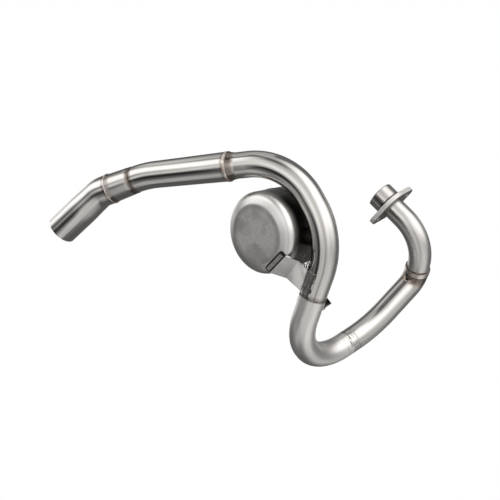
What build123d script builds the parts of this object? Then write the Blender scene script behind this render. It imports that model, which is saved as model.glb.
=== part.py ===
from build123d import *

import math
import os

# Motorcycle exhaust header with a resonance canister, in millimetres.
# The origin is the centre of the port face. +X points forward, +Z up, and the pipe leaves the
# port forward, down and a little to the side, coils round and leaves to the rear.

# Tube sizes
FIRST_OD = 38.1
PIPE_OD = 41.3
MID_FRONT_OD = 47.0
MID_REAR_OD = 44.6
TAIL_OD = 50.8
SOCKET_OD = 53.4
TUBE_WALL = 1.2

# Bend table: where the centre lines of the straight runs meet, and the bend radius there
CORNER = {
    "port": Vector(0, 0, 0),
    "first": Vector(79.9, -13.1, -78),
    "collar": Vector(58, 33, -150),
    "down": Vector(-10, -15, -229),
    "u_entry": Vector(-88, -88, -281),
    "u_exit": Vector(-100, -168, -224),
    "loop": Vector(-41, -198, -70),
    "crown": Vector(-110, -189, 49),
    "mid": Vector(-358, -170, 29),
    "tail": Vector(-444, -166, 2),
    "outlet": Vector(-527, -157, -62),
}
FIRST_BEND_RADIUS = 76.0
COLLAR_BEND_RADIUS = 32.0
DOWN_BEND_RADIUS = 245.0
U_BEND_RADIUS = 78.0
LOOP_BEND_RADIUS = 117.0
CROWN_BEND_RADIUS = 107.0
MID_BEND_RADIUS = 185.0
TAIL_BEND_RADIUS = 49.0

# Port end
FERRULE_OD = 47.0
FERRULE_LENGTH = 24.7
FERRULE_CHAMFER = 1.5
TUBE_SEAT_DEPTH = 12.0
FLANGE_THICKNESS = 8.0
FLANGE_BODY_RADIUS = 32.0
FLANGE_LOBE_RADIUS = 12.5
FLANGE_EDGE_RADIUS = 0.8
FLANGE_TURN = -25.0
FLANGE_RUNNING_CLEARANCE = 0.4
FLANGE_END_PLAY = 0.5
STUD_COUNT = 2
STUD_CIRCLE = 67.0
STUD_HOLE_RADIUS = 4.4

# Collar where the pipe steps up
COLLAR_OD = 43.0
COLLAR_LENGTH = 9.0
COLLAR_LEAD = 1.5
COLLAR_WELD_LEG = 1.6

# Weld beads
BEAD_WIDTH = 5.0
BEAD_HEIGHT = 0.8
GROUND_BEAD_HEIGHT = 0.25
SLEEVE_LENGTH = 11.0
SLEEVE_WALL = 0.6
JOINT_ABOVE_U_BEND = 36.0

# Reducer, mid pipe and tail
REDUCER_LEAD = 17.0
REDUCER_LIP_LENGTH = 2.0
REDUCER_CONE_LENGTH = 8.0
REDUCER_BAND_LENGTH = 6.0
REDUCER_BLEND_RADIUS = 7.0
MID_TAPER_BEFORE_BEND = 6.0
CONE_WELD_AFTER_BEND = 1.5
CONE_LEAD = 4.0
EXPANSION_LENGTH = 24.0
TAIL_WELD_BEFORE_BEND = 13.0
SOCKET_FLARE_LENGTH = 30.0
SOCKET_LENGTH = 60.0

# Canister: the axis runs from the front disc to the rear
CANISTER_RADIUS = 64.5
CANISTER_DISC_RADIUS = 46.0
CANISTER_BEVEL_HEIGHT = 7.0
FRONT_CUP_DEPTH = 51.0
REAR_CUP_DEPTH = 76.0
CUP_WALL = 1.2
CUP_DISC_EDGE_RADIUS = 2.5
CUP_RIM_RADIUS = 7.0
CANISTER_TURN = 25.0
CANISTER_RISE = 8.0
CANISTER_CLOCK = 10.6
NECK_LENGTH = 10.8
NECK_STATION = 47.0
NECK_RADIUS = 14.0
NECK_WALL = 1.5
SEAM_BEAD_WIDTH = 4.0
SEAM_BEAD_HEIGHT = 0.9

# Bracket: a folded strap from the cap's bevel to the pipe
STRAP_THICKNESS = 2.0
STRAP_FOOT_WIDTH = 44.0
STRAP_FOOT_INSIDE_RIM = 7.0
STRAP_FOOT_CLOCK = 43.0
STRAP_FOLD_WIDTH = 38.0
STRAP_FOLD_OUTSIDE_RIM = 13.5
STRAP_FOLD_CLOCK = 34.5
STRAP_PIPE_CLOCK = 10.0
SADDLE_LENGTH = 35.0
SADDLE_ABOVE_JOINT = 4.5
SADDLE_FRONT_CLOCK = 58.0
STRAP_WELD_WIDTH = 11.0
STRAP_WELD_HEIGHT = 2.4
STRAP_WELD_CORNER = 4.0
SADDLE_WELD_RADIUS = 1.8

# Side lug: a folded hook at the joint
LUG_THICKNESS = 1.8
LUG_WIDTH = 16.0
LUG_FOOT = 4.0
LUG_REACH = 11.7
LUG_ANGLE = 43.0
LUG_CLOCK = 195.0
LUG_BELOW_JOINT = 12.0
LUG_WELD_RADIUS = 1.6

BEND_RADIUS = {
    "first": FIRST_BEND_RADIUS,
    "collar": COLLAR_BEND_RADIUS,
    "down": DOWN_BEND_RADIUS,
    "u_entry": U_BEND_RADIUS,
    "u_exit": U_BEND_RADIUS,
    "loop": LOOP_BEND_RADIUS,
    "crown": CROWN_BEND_RADIUS,
    "mid": MID_BEND_RADIUS,
    "tail": TAIL_BEND_RADIUS,
}
ORDER = list(CORNER)
QUARTER_TURN = 90.0
HALF_TURN = 180.0


# Places along the route

def heading(name):
    """Direction of the straight run that leaves a corner."""
    following = ORDER[ORDER.index(name) + 1]
    return (CORNER[following] - CORNER[name]).normalized()


def approach(name):
    """Direction of the straight run that arrives at a corner."""
    return heading(ORDER[ORDER.index(name) - 1])


def setback(name):
    """Distance from a corner to where its bend begins or ends."""
    turn = math.radians(approach(name).get_angle(heading(name)))
    return BEND_RADIUS[name] * math.tan(turn / 2)


def after_bend(name, distance):
    """Point on the run that leaves a bend, so far past the bend's end."""
    return CORNER[name] + heading(name) * (setback(name) + distance)


def before_bend(name, distance):
    """Point on the run that arrives at a bend, so far ahead of the bend's start."""
    return CORNER[name] - approach(name) * (setback(name) + distance)


def bend_middle(name):
    """Middle point of a bend and the direction from there to the bend's centre."""
    inward = (heading(name) - approach(name)).normalized()
    turn = math.radians(approach(name).get_angle(heading(name)))
    depth = BEND_RADIUS[name] / math.cos(turn / 2) - BEND_RADIUS[name]
    return CORNER[name] + inward * depth, inward


# Shapes that recur

def pipe_path(start, bends, end):
    corners = [CORNER[bend] for bend in bends]
    return FilletPolyline(start, *corners, end, radius=[BEND_RADIUS[bend] for bend in bends])


def swept_round(path, outer, inner=0.0):
    section = Circle(outer) - Circle(inner) if inner else Circle(outer)
    return sweep(Plane(origin=path @ 0, z_dir=path % 0) * section, path=path)


def turned(origin, direction, profile):
    """Solid turned about an axis from (radius, station) points."""
    outline = Polyline(*[(radius, 0, station) for radius, station in profile], close=True)
    return Plane(origin=origin, z_dir=direction).location * revolve(make_face(outline), Axis.Z)


def bead(origin, direction, radius, width, height):
    """Weld bead with a rounded crown around a tube."""
    foot = Line((radius, 0, -width / 2), (radius, 0, width / 2))
    crown = ThreePointArc(foot @ 1, (radius + height, 0, 0), foot @ 0)
    ring = revolve(make_face([foot, crown]), Axis.Z)
    return Plane(origin=origin, z_dir=direction).location * ring


def bead_bar(start, end, radius):
    """Short straight weld bead with round ends."""
    along = (end - start).normalized()
    bar = Plane(origin=start, z_dir=along) * Circle(radius)
    body = extrude(bar, amount=(end - start).length)
    return body + Pos(*start) * Sphere(radius) + Pos(*end) * Sphere(radius)


# Stations where one tube meets the next
port_axis = heading("port")
collar_run = heading("first")
collar_foot = before_bend("collar", COLLAR_LEAD)
collar_top = collar_foot - collar_run * COLLAR_LENGTH
seam_run = heading("down")
seam_point = (after_bend("down", 0) + before_bend("u_entry", 0)) * 0.5
joint_run = heading("u_exit")
joint_point = after_bend("u_exit", JOINT_ABOVE_U_BEND)
mid_run = heading("crown")
reducer_start = after_bend("crown", REDUCER_LEAD)
reducer_length = REDUCER_LIP_LENGTH + REDUCER_CONE_LENGTH + REDUCER_BAND_LENGTH
mid_weld_point = reducer_start + mid_run * reducer_length
tail_run = heading("mid")
cone_weld_point = after_bend("mid", CONE_WELD_AFTER_BEND)
tail_weld_point = before_bend("tail", TAIL_WELD_BEFORE_BEND)

first_outer = FIRST_OD / 2
first_inner = first_outer - TUBE_WALL
pipe_outer = PIPE_OD / 2
pipe_inner = pipe_outer - TUBE_WALL
mid_front_outer = MID_FRONT_OD / 2
mid_rear_outer = MID_REAR_OD / 2
tail_outer = TAIL_OD / 2


# Port ferrule, flange and first tube
tube_start = FERRULE_LENGTH - TUBE_SEAT_DEPTH
ferrule_outer = FERRULE_OD / 2
port_ferrule = turned(CORNER["port"], port_axis, [
    (first_inner, 0),
    (ferrule_outer - FERRULE_CHAMFER, 0),
    (ferrule_outer, FERRULE_CHAMFER),
    (ferrule_outer, FERRULE_LENGTH),
    (first_outer, FERRULE_LENGTH),
    (first_outer, tube_start),
    (first_inner, tube_start),
])


def flange_plate():
    lobes = GridLocations(STUD_CIRCLE, 0, STUD_COUNT, 1)
    outline = Sketch() + Circle(FLANGE_BODY_RADIUS) + lobes * Circle(FLANGE_LOBE_RADIUS)
    plate = extrude(make_hull(outline.edges()), amount=FLANGE_THICKNESS)
    rims = plate.faces().filter_by(Axis.Z).edges()
    plate = fillet(rims, FLANGE_EDGE_RADIUS)
    bore = Circle(first_outer + FLANGE_RUNNING_CLEARANCE)
    holes = Sketch() + bore + lobes * Circle(STUD_HOLE_RADIUS)
    return plate - extrude(holes, amount=FLANGE_THICKNESS)


flange_front = CORNER["port"] + port_axis * (FERRULE_LENGTH + FLANGE_END_PLAY)
upright = Vector(0, 1, 0).cross(port_axis) * -1
flange_long = upright.rotate(Axis((0, 0, 0), port_axis), FLANGE_TURN)
flange_plane = Plane(origin=flange_front, x_dir=flange_long, z_dir=port_axis)
port_flange = flange_plane.location * flange_plate()

first_path = pipe_path(CORNER["port"] + port_axis * tube_start, ["first"], collar_foot)
first_bend = swept_round(first_path, first_outer, first_inner)

step_collar = turned(collar_top, collar_run, [
    (first_outer, 0),
    (COLLAR_OD / 2, 0),
    (COLLAR_OD / 2, COLLAR_LENGTH),
    (first_outer, COLLAR_LENGTH),
])
collar_weld = turned(collar_top, collar_run, [
    (first_outer, 0),
    (first_outer + COLLAR_WELD_LEG, 0),
    (first_outer, -COLLAR_WELD_LEG),
])

# Second tube, bottom bend and loop
down_path = pipe_path(collar_foot, ["collar", "down"], seam_point)
down_pipe = swept_round(down_path, pipe_outer, pipe_inner)
u_bend_path = pipe_path(seam_point, ["u_entry", "u_exit"], joint_point)
u_bend = swept_round(u_bend_path, pipe_outer, pipe_inner)
u_bend_filled = swept_round(u_bend_path, pipe_outer)
loop_path = pipe_path(joint_point, ["loop", "crown"], reducer_start)
upper_bend = swept_round(loop_path, pipe_outer, pipe_inner)
loop_filled = swept_round(loop_path, pipe_outer)

seam_weld = bead(seam_point, seam_run, pipe_outer, BEAD_WIDTH, GROUND_BEAD_HEIGHT)
joint_weld = bead(joint_point, joint_run, pipe_outer, BEAD_WIDTH, BEAD_HEIGHT)
sleeve_top = joint_point - joint_run * (BEAD_WIDTH / 2)
sleeve_outer = pipe_outer + SLEEVE_WALL
joint_sleeve = turned(sleeve_top, joint_run * -1, [
    (pipe_outer, 0),
    (sleeve_outer, 0),
    (sleeve_outer, SLEEVE_LENGTH),
    (pipe_outer, SLEEVE_LENGTH),
])
sleeve_plane = Plane(origin=sleeve_top, z_dir=joint_run * -1)
sleeve_filled = extrude(sleeve_plane * Circle(sleeve_outer), amount=SLEEVE_LENGTH)

# Reducer, mid pipe, expansion cone and tail


def reducer_profile(inset):
    """Filled half section of the reducer, drawn in from its outer skin."""
    small = pipe_outer - inset
    large = mid_front_outer - inset
    cone_end = REDUCER_LIP_LENGTH + REDUCER_CONE_LENGTH
    length = cone_end + REDUCER_BAND_LENGTH
    skin = FilletPolyline(
        (small, 0, 0),
        (small, 0, REDUCER_LIP_LENGTH),
        (large, 0, cone_end),
        (large, 0, length),
        radius=[REDUCER_BLEND_RADIUS - inset, REDUCER_BLEND_RADIUS - inset],
    )
    return skin, length


def reducer_filled(inset):
    skin, length = reducer_profile(inset)
    closing = Polyline(skin @ 1, (0, 0, length), (0, 0, 0), skin @ 0)
    return revolve(make_face([*skin.edges(), *closing.edges()]), Axis.Z)


reducer_shell = reducer_filled(0.0) - reducer_filled(TUBE_WALL)
reducer_cone = Plane(origin=reducer_start, z_dir=mid_run).location * reducer_shell
mid_weld = bead(mid_weld_point, mid_run, mid_front_outer, BEAD_WIDTH, BEAD_HEIGHT)

taper_end = before_bend("mid", MID_TAPER_BEFORE_BEND)
taper_length = (taper_end - mid_weld_point).length
mid_taper = turned(mid_weld_point, mid_run, [
    (mid_front_outer - TUBE_WALL, 0),
    (mid_front_outer, 0),
    (mid_rear_outer, taper_length),
    (mid_rear_outer - TUBE_WALL, taper_length),
])
bent_end = pipe_path(taper_end, ["mid"], cone_weld_point)
mid_pipe = mid_taper + swept_round(bent_end, mid_rear_outer, mid_rear_outer - TUBE_WALL)

cone_weld = bead(cone_weld_point, tail_run, mid_rear_outer, BEAD_WIDTH, BEAD_HEIGHT)
cone_length = (tail_weld_point - cone_weld_point).length
expansion_cone = turned(cone_weld_point, tail_run, [
    (mid_rear_outer - TUBE_WALL, 0),
    (mid_rear_outer, 0),
    (mid_rear_outer, CONE_LEAD),
    (tail_outer, CONE_LEAD + EXPANSION_LENGTH),
    (tail_outer, cone_length),
    (tail_outer - TUBE_WALL, cone_length),
    (tail_outer - TUBE_WALL, CONE_LEAD + EXPANSION_LENGTH),
    (mid_rear_outer - TUBE_WALL, CONE_LEAD),
])
tail_weld = bead(tail_weld_point, tail_run, tail_outer, BEAD_WIDTH, BEAD_HEIGHT)
socket_run = heading("tail")
socket_outer = SOCKET_OD / 2
flare_point = CORNER["outlet"] - socket_run * (SOCKET_FLARE_LENGTH + SOCKET_LENGTH)
socket = turned(flare_point, socket_run, [
    (tail_outer - TUBE_WALL, 0),
    (tail_outer, 0),
    (socket_outer, SOCKET_FLARE_LENGTH),
    (socket_outer, SOCKET_FLARE_LENGTH + SOCKET_LENGTH),
    (socket_outer - TUBE_WALL, SOCKET_FLARE_LENGTH + SOCKET_LENGTH),
    (socket_outer - TUBE_WALL, SOCKET_FLARE_LENGTH),
])
tail_path = pipe_path(tail_weld_point, ["tail"], flare_point)
tail_pipe = swept_round(tail_path, tail_outer, tail_outer - TUBE_WALL) + socket

# Canister inside the loop
turn = math.radians(CANISTER_TURN)
rise = math.radians(CANISTER_RISE)
can_axis = Vector(math.sin(turn) * math.cos(rise), math.cos(turn) * math.cos(rise), math.sin(rise))
loop_middle, loop_inward = bend_middle("loop")
square_inward = (loop_inward - can_axis * loop_inward.dot(can_axis)).normalized()
can_side = square_inward.rotate(Axis((0, 0, 0), can_axis), CANISTER_CLOCK)
can_middle = loop_middle + can_side * (pipe_outer + NECK_LENGTH + CANISTER_RADIUS)
can_plane = Plane(origin=can_middle - can_axis * NECK_STATION, x_dir=can_side * -1, z_dir=can_axis)


def cup_filled(depth):
    skin = Polyline(
        (0, 0, 0),
        (CANISTER_DISC_RADIUS, 0, 0),
        (CANISTER_RADIUS, 0, CANISTER_BEVEL_HEIGHT),
        (CANISTER_RADIUS, 0, depth),
        (0, 0, depth),
        close=True,
    )
    body = revolve(make_face(skin), Axis.Z)
    rounds = body.edges().filter_by(GeomType.CIRCLE).sort_by(Axis.Z)
    body = fillet(rounds[0], CUP_DISC_EDGE_RADIUS)
    rims = body.edges().filter_by(GeomType.CIRCLE)
    rim = rims.sort_by(lambda edge: abs(edge.center().Z - CANISTER_BEVEL_HEIGHT))[0]
    return fillet(rim, CUP_RIM_RADIUS)


def cup_shell(depth):
    solid = cup_filled(depth)
    return offset(solid, amount=-CUP_WALL, openings=solid.faces().sort_by(Axis.Z)[-1])


rear_flip = Pos(0, 0, FRONT_CUP_DEPTH + REAR_CUP_DEPTH) * Rot(HALF_TURN, 0, 0)
canister_filled = can_plane.location * (
    cup_filled(FRONT_CUP_DEPTH) + rear_flip * cup_filled(REAR_CUP_DEPTH))

neck_plane = Plane(origin=loop_middle, z_dir=can_side)
neck_reach = pipe_outer + NECK_LENGTH + CANISTER_RADIUS / 2
neck_bore = extrude(neck_plane * Circle(NECK_RADIUS - NECK_WALL), amount=neck_reach)
neck_outer = extrude(neck_plane * Circle(NECK_RADIUS), amount=neck_reach)
canister_neck = neck_outer - neck_bore - canister_filled - loop_filled
upper_bend = upper_bend - neck_bore
canister_front_cup = can_plane.location * cup_shell(FRONT_CUP_DEPTH) - neck_bore
canister_rear_cup = can_plane.location * (rear_flip * cup_shell(REAR_CUP_DEPTH)) - neck_bore
seam_centre = can_plane.origin + can_axis * FRONT_CUP_DEPTH
canister_seam_weld = bead(seam_centre, can_axis, CANISTER_RADIUS, SEAM_BEAD_WIDTH, SEAM_BEAD_HEIGHT)
canister_seam_weld = canister_seam_weld - neck_outer

# Bracket between the cap's bevel and the pipe
bevel_slope = math.atan2(CANISTER_BEVEL_HEIGHT, CANISTER_RADIUS - CANISTER_DISC_RADIUS)


def radial_on_can(clock):
    """Direction out from the canister's axis, counted down from the side that faces the pipe."""
    angle = math.radians(clock)
    return can_plane.x_dir * math.cos(angle) + can_plane.y_dir * math.sin(angle)


def on_bevel(radius, clock):
    """Point on the bevel's cone, carried on past the rim where the radius is larger."""
    height = (radius - CANISTER_DISC_RADIUS) * math.tan(bevel_slope)
    return can_plane.origin + radial_on_can(clock) * radius + can_axis * height


def strap_section(middle, across, outward, width, above, below):
    """Cross section of the strap: its width lies along across, its face looks outward."""
    side = across * (width / 2)
    corners = [
        middle - side + outward * above,
        middle + side + outward * above,
        middle + side - outward * below,
        middle - side - outward * below,
    ]
    return make_face(Polyline(*corners, close=True))


def bevel_normal(clock):
    """Direction square out from the bevel's face."""
    return radial_on_can(clock) * math.sin(bevel_slope) - can_axis * math.cos(bevel_slope)


strap_foot = on_bevel(CANISTER_RADIUS - STRAP_FOOT_INSIDE_RIM, STRAP_FOOT_CLOCK)
foot_across = radial_on_can(STRAP_FOOT_CLOCK - QUARTER_TURN)
foot_outward = bevel_normal(STRAP_FOOT_CLOCK)
foot_run = foot_across.cross(foot_outward)
strap_fold = on_bevel(CANISTER_RADIUS + STRAP_FOLD_OUTSIDE_RIM, STRAP_FOLD_CLOCK)
fold_across = radial_on_can(STRAP_FOLD_CLOCK - QUARTER_TURN)

saddle_foot = joint_point + joint_run * SADDLE_ABOVE_JOINT
saddle_middle = saddle_foot + joint_run * (SADDLE_LENGTH / 2)
to_fold = strap_fold - saddle_middle
pipe_side = (to_fold - joint_run * to_fold.dot(joint_run)).normalized()
saddle_plane = Plane(origin=saddle_foot, x_dir=pipe_side, z_dir=joint_run)


def radial_on_pipe(clock):
    """Direction out from the joint's axis, counted from the side that faces the strap's fold."""
    return pipe_side.rotate(Axis((0, 0, 0), joint_run), clock)


strap_end = saddle_middle + radial_on_pipe(STRAP_PIPE_CLOCK) * (pipe_outer + STRAP_THICKNESS / 2)
end_run = (strap_end - strap_fold).normalized()
end_outward = end_run.cross(joint_run).normalized()
fold_outward = (bevel_normal(STRAP_FOLD_CLOCK) + end_outward).normalized()
half_strap = STRAP_THICKNESS / 2
foot_section = strap_section(
    strap_foot, foot_across, foot_outward, STRAP_FOOT_WIDTH, STRAP_THICKNESS, STRAP_THICKNESS)
fold_section = strap_section(
    strap_fold, fold_across, fold_outward, STRAP_FOLD_WIDTH, STRAP_THICKNESS, 0.0)
end_section = strap_section(
    strap_end, joint_run, end_outward, SADDLE_LENGTH, half_strap, half_strap)
strap = loft([foot_section, fold_section, end_section], ruled=True)
saddle_strip = Pos(pipe_outer + STRAP_THICKNESS / 2, 0, SADDLE_LENGTH / 2) * (
    Plane.XZ * Rectangle(STRAP_THICKNESS, SADDLE_LENGTH))
saddle_sweep = SADDLE_FRONT_CLOCK - STRAP_PIPE_CLOCK
saddle_ring = revolve(saddle_strip, Axis.Z, revolution_arc=saddle_sweep)
saddle = saddle_plane.location * (Rot(0, 0, STRAP_PIPE_CLOCK) * saddle_ring)
canister_bracket = strap + saddle - canister_filled - loop_filled

weld_middle = strap_foot - foot_run * (STRAP_WELD_WIDTH / 2)
weld_foot = weld_middle - foot_outward * STRAP_WELD_HEIGHT
weld_plane = Plane(origin=weld_foot, x_dir=foot_across, z_dir=foot_outward)
weld_outline = RectangleRounded(STRAP_FOOT_WIDTH, STRAP_WELD_WIDTH, STRAP_WELD_CORNER)
weld_pad = extrude(weld_outline, amount=2 * STRAP_WELD_HEIGHT)
weld_pad = fillet(weld_pad.faces().sort_by(Axis.Z)[-1].edges(), STRAP_WELD_HEIGHT / 2)
bracket_cap_weld = weld_plane.location * weld_pad - canister_filled

saddle_edge = radial_on_pipe(SADDLE_FRONT_CLOCK) * pipe_outer
saddle_top = saddle_foot + joint_run * SADDLE_LENGTH
saddle_bar = bead_bar(saddle_foot + saddle_edge, saddle_top + saddle_edge, SADDLE_WELD_RADIUS)
bracket_pipe_weld = saddle_bar - loop_filled - saddle

# Side lug: a hook folded out from the pipe beside the joint
lug_side = radial_on_pipe(LUG_CLOCK)
lug_plane = Plane(origin=joint_point - joint_run * LUG_BELOW_JOINT, x_dir=lug_side, z_dir=joint_run)


def lug_blank():
    lean = math.radians(LUG_ANGLE)
    tip = (sleeve_outer + LUG_REACH * math.sin(lean), LUG_REACH * math.cos(lean))
    thick = (LUG_THICKNESS * math.cos(lean), -LUG_THICKNESS * math.sin(lean))
    fold = LUG_THICKNESS * math.tan(lean / 2)
    profile = [
        (sleeve_outer - LUG_THICKNESS, -LUG_FOOT),
        (sleeve_outer + LUG_THICKNESS, -LUG_FOOT),
        (sleeve_outer + LUG_THICKNESS, -fold),
        (tip[0] + thick[0], tip[1] + thick[1]),
        tip,
        (sleeve_outer, 0),
        (sleeve_outer - LUG_THICKNESS, 0),
    ]
    outline = Polyline(*[(radius, 0, station) for radius, station in profile], close=True)
    return extrude(make_face(outline), amount=LUG_WIDTH / 2, both=True)


side_lug = lug_plane.location * lug_blank() - sleeve_filled - u_bend_filled
lug_weld_arc = math.degrees(LUG_WIDTH / sleeve_outer)
lug_weld_section = Pos(sleeve_outer, 0, -LUG_FOOT) * (Plane.XZ * Circle(LUG_WELD_RADIUS))
lug_weld_ring = revolve(lug_weld_section, Axis.Z, revolution_arc=lug_weld_arc)
lug_weld_ring = Rot(0, 0, -lug_weld_arc / 2) * lug_weld_ring
lug_weld = lug_plane.location * lug_weld_ring - sleeve_filled - u_bend_filled - side_lug

PIECES = {
    "port_ferrule": port_ferrule,
    "port_flange": port_flange,
    "first_bend": first_bend,
    "step_collar": step_collar,
    "collar_weld": collar_weld,
    "down_pipe": down_pipe,
    "seam_weld": seam_weld,
    "u_bend": u_bend,
    "joint_sleeve": joint_sleeve,
    "joint_weld": joint_weld,
    "upper_bend": upper_bend,
    "reducer_cone": reducer_cone,
    "mid_weld": mid_weld,
    "mid_pipe": mid_pipe,
    "cone_weld": cone_weld,
    "expansion_cone": expansion_cone,
    "tail_weld": tail_weld,
    "tail_pipe": tail_pipe,
    "canister_front_cup": canister_front_cup,
    "canister_rear_cup": canister_rear_cup,
    "canister_seam_weld": canister_seam_weld,
    "canister_neck": canister_neck,
    "canister_bracket": canister_bracket,
    "bracket_cap_weld": bracket_cap_weld,
    "bracket_pipe_weld": bracket_pipe_weld,
    "side_lug": side_lug,
    "lug_weld": lug_weld,
}

os.makedirs("parts", exist_ok=True)
for name, piece in PIECES.items():
    export_step(piece, f"parts/{name}.step")
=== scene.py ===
import math

import bmesh
import bpy
import numpy as np
from mathutils import Matrix, Vector


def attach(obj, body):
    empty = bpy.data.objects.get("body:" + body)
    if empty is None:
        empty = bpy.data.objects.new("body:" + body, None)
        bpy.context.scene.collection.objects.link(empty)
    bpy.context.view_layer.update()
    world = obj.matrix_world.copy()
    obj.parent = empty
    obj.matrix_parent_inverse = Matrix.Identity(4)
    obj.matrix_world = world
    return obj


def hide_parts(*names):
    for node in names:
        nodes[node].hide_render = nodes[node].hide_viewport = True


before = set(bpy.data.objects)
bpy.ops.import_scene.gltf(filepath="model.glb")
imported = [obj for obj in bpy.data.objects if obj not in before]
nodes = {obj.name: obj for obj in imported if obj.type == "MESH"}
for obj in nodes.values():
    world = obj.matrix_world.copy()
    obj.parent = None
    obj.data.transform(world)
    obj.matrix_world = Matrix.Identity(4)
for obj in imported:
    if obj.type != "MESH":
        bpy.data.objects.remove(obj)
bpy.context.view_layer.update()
scene = bpy.context.scene
MM = 0.001

# Route of the pipe: where its straight runs meet, and the bend radius there, in mm and then in metres
CORNER = {
    "port": (0, 0, 0), "first": (79.9, -13.1, -78), "collar": (58, 33, -150), "down": (-10, -15, -229),
    "u_entry": (-88, -88, -281), "u_exit": (-100, -168, -224), "loop": (-41, -198, -70),
    "crown": (-110, -189, 49), "mid": (-358, -170, 29), "tail": (-444, -166, 2), "outlet": (-527, -157, -62),
}
CORNER = {name: Vector(place) * MM for name, place in CORNER.items()}
BEND_RADIUS = {
    "first": 76, "collar": 32, "down": 245, "u_entry": 78, "u_exit": 78,
    "loop": 117, "crown": 107, "mid": 185, "tail": 49,
}
BEND_RADIUS = {name: radius * MM for name, radius in BEND_RADIUS.items()}
ORDER = list(CORNER)


def heading(name):
    """Direction of the straight run that leaves a corner."""
    following = ORDER[ORDER.index(name) + 1]
    return (CORNER[following] - CORNER[name]).normalized()


def approach(name):
    """Direction of the straight run that arrives at a corner."""
    return heading(ORDER[ORDER.index(name) - 1])


def bend_angle(name):
    """How far the pipe turns at a corner."""
    return approach(name).angle(heading(name))


def setback(name):
    """Distance from a corner to where its bend begins or ends."""
    return BEND_RADIUS[name] * math.tan(bend_angle(name) / 2)


def after_bend(name, distance=0.0):
    """Point on the run that leaves a bend, so far past the bend's end."""
    return CORNER[name] + heading(name) * (setback(name) + distance)


def before_bend(name, distance=0.0):
    """Point on the run that arrives at a bend, so far ahead of the bend's start."""
    return CORNER[name] - approach(name) * (setback(name) + distance)


# Tubes: wall and outer radii, and the places where one meets the next
TUBE_WALL = 1.2 * MM
FIRST_RADIUS = 19.05 * MM
PIPE_RADIUS = 20.65 * MM
MID_FRONT_RADIUS = 23.5 * MM
MID_REAR_RADIUS = 22.3 * MM
CONE_FRONT_RADIUS = 23.2 * MM
CONE_REAR_RADIUS = 24.5 * MM
TAIL_RADIUS = 25.4 * MM
SOCKET_RADIUS = 26.7 * MM
TUBE_IN_FERRULE = 12.7 * MM
REDUCER_LENGTH = 16 * MM
REDUCER_LIP = 4 * MM
CONE_LIP = 6 * MM
TAIL_LEAD = 13 * MM
SOCKET_LENGTH = 60 * MM
FLARE_LENGTH = 30 * MM
PORT_RUN = heading("port")
COLLAR_RUN = heading("first")
SEAM_RUN = heading("down")
JOINT_RUN = heading("u_exit")
COLLAR_FOOT = before_bend("collar", 1.5 * MM)
GROUND_SEAM = (after_bend("down") + before_bend("u_entry")) / 2
LOOP_JOINT = after_bend("u_exit", 36 * MM)
REDUCER_START = after_bend("crown", 17 * MM)
MID_JOINT = REDUCER_START + heading("crown") * REDUCER_LENGTH
MID_TAPER_END = before_bend("mid", 6 * MM)
CONE_JOINT = after_bend("mid", 1.5 * MM)
TAIL_JOINT = before_bend("tail", TAIL_LEAD)
CONE_LENGTH = (TAIL_JOINT - CONE_JOINT).length
FLARE_START = CORNER["outlet"] - heading("tail") * (FLARE_LENGTH + SOCKET_LENGTH)
TAIL_TO_FLARE = (
    TAIL_LEAD + BEND_RADIUS["tail"] * bend_angle("tail") + (FLARE_START - after_bend("tail")).length)

# Canister: the middle of its front disc, the axis that runs back from there, and its cups
CAN_AXIS = Vector((0.418505, 0.897488, 0.139173))
CAN_DISC = Vector((-0.16058, -0.19806, -0.06372))
CAN_DISC_RADIUS = 46 * MM
CAN_RADIUS = 64.5 * MM
CAN_BEVEL = 7 * MM
FRONT_CUP = 51 * MM
REAR_CUP = 76 * MM
CUP_WALL = 1.2 * MM
CUP_GAP = 0.1 * MM
DISC_ROUND = 16 * MM
RIM_ROUND = 13 * MM
NECK_PLACE = Vector((-0.0790, -0.1750, -0.0640))


def tone(text):
    """A colour written as sRGB hex, in linear light."""
    parts = [int(text[i:i + 2], 16) / 255 for i in (1, 3, 5)]
    light = [p / 12.92 if p <= 0.04045 else ((p + 0.055) / 1.055) ** 2.4 for p in parts]
    return (*light, 1.0)


def add(tree, kind, inputs=None, **settings):
    """One node with its settings; an input is a value or another node's socket."""
    made = tree.nodes.new(kind)
    for key, value in settings.items():
        setattr(made, key, value)
    for key, value in (inputs or {}).items():
        if isinstance(value, bpy.types.NodeSocket):
            tree.links.new(value, made.inputs[key])
        else:
            made.inputs[key].default_value = value
    return made


def ramp_stops(ramp, stops):
    """Set a colour ramp's stops from (position, colour) pairs."""
    elements = ramp.color_ramp.elements
    while len(elements) < len(stops):
        elements.new(0.5)
    for element, (position, colour) in zip(elements, stops):
        element.position = position
        element.color = colour


def finish_tree(name):
    """A new material with only its shader, a bare metal, and its output."""
    finish = bpy.data.materials.new(name)
    finish.use_nodes = True
    tree = finish.node_tree
    tree.nodes.clear()
    shader = add(tree, "ShaderNodeBsdfPrincipled", {"Metallic": 1.0})
    add(tree, "ShaderNodeOutputMaterial", {"Surface": shader.outputs["BSDF"]})
    return finish, tree, shader


def solid_points(name):
    """The corners of a piece's plain solid, each once, in metres."""
    found = np.array([v.co for v in nodes[name].data.vertices])
    return np.unique(np.round(found, 6), axis=0)


# Heat tint beside a weld: grey scale at the bead, then a dull brown and straw that fade out
HEAT = [
    (0.0, tone("#4F4741")),
    (0.3, tone("#7E7166")),
    (0.6, tone("#ADA39A")),
    (1.0, tone("#C9C6C2")),
]
# How far the edge of a heat tint wanders
TINT_WANDER = 1.6 * MM
# Brush lines, drawn coarser than the real grit so that they show
BRUSH_LINE = 2.4 * MM
# A brush streak is this much shorter in its pattern than on the tube
STREAK_DRAW = 0.04
# Patches of a tube that handling has dulled
TUBE_PATCH = 25 * MM
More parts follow.
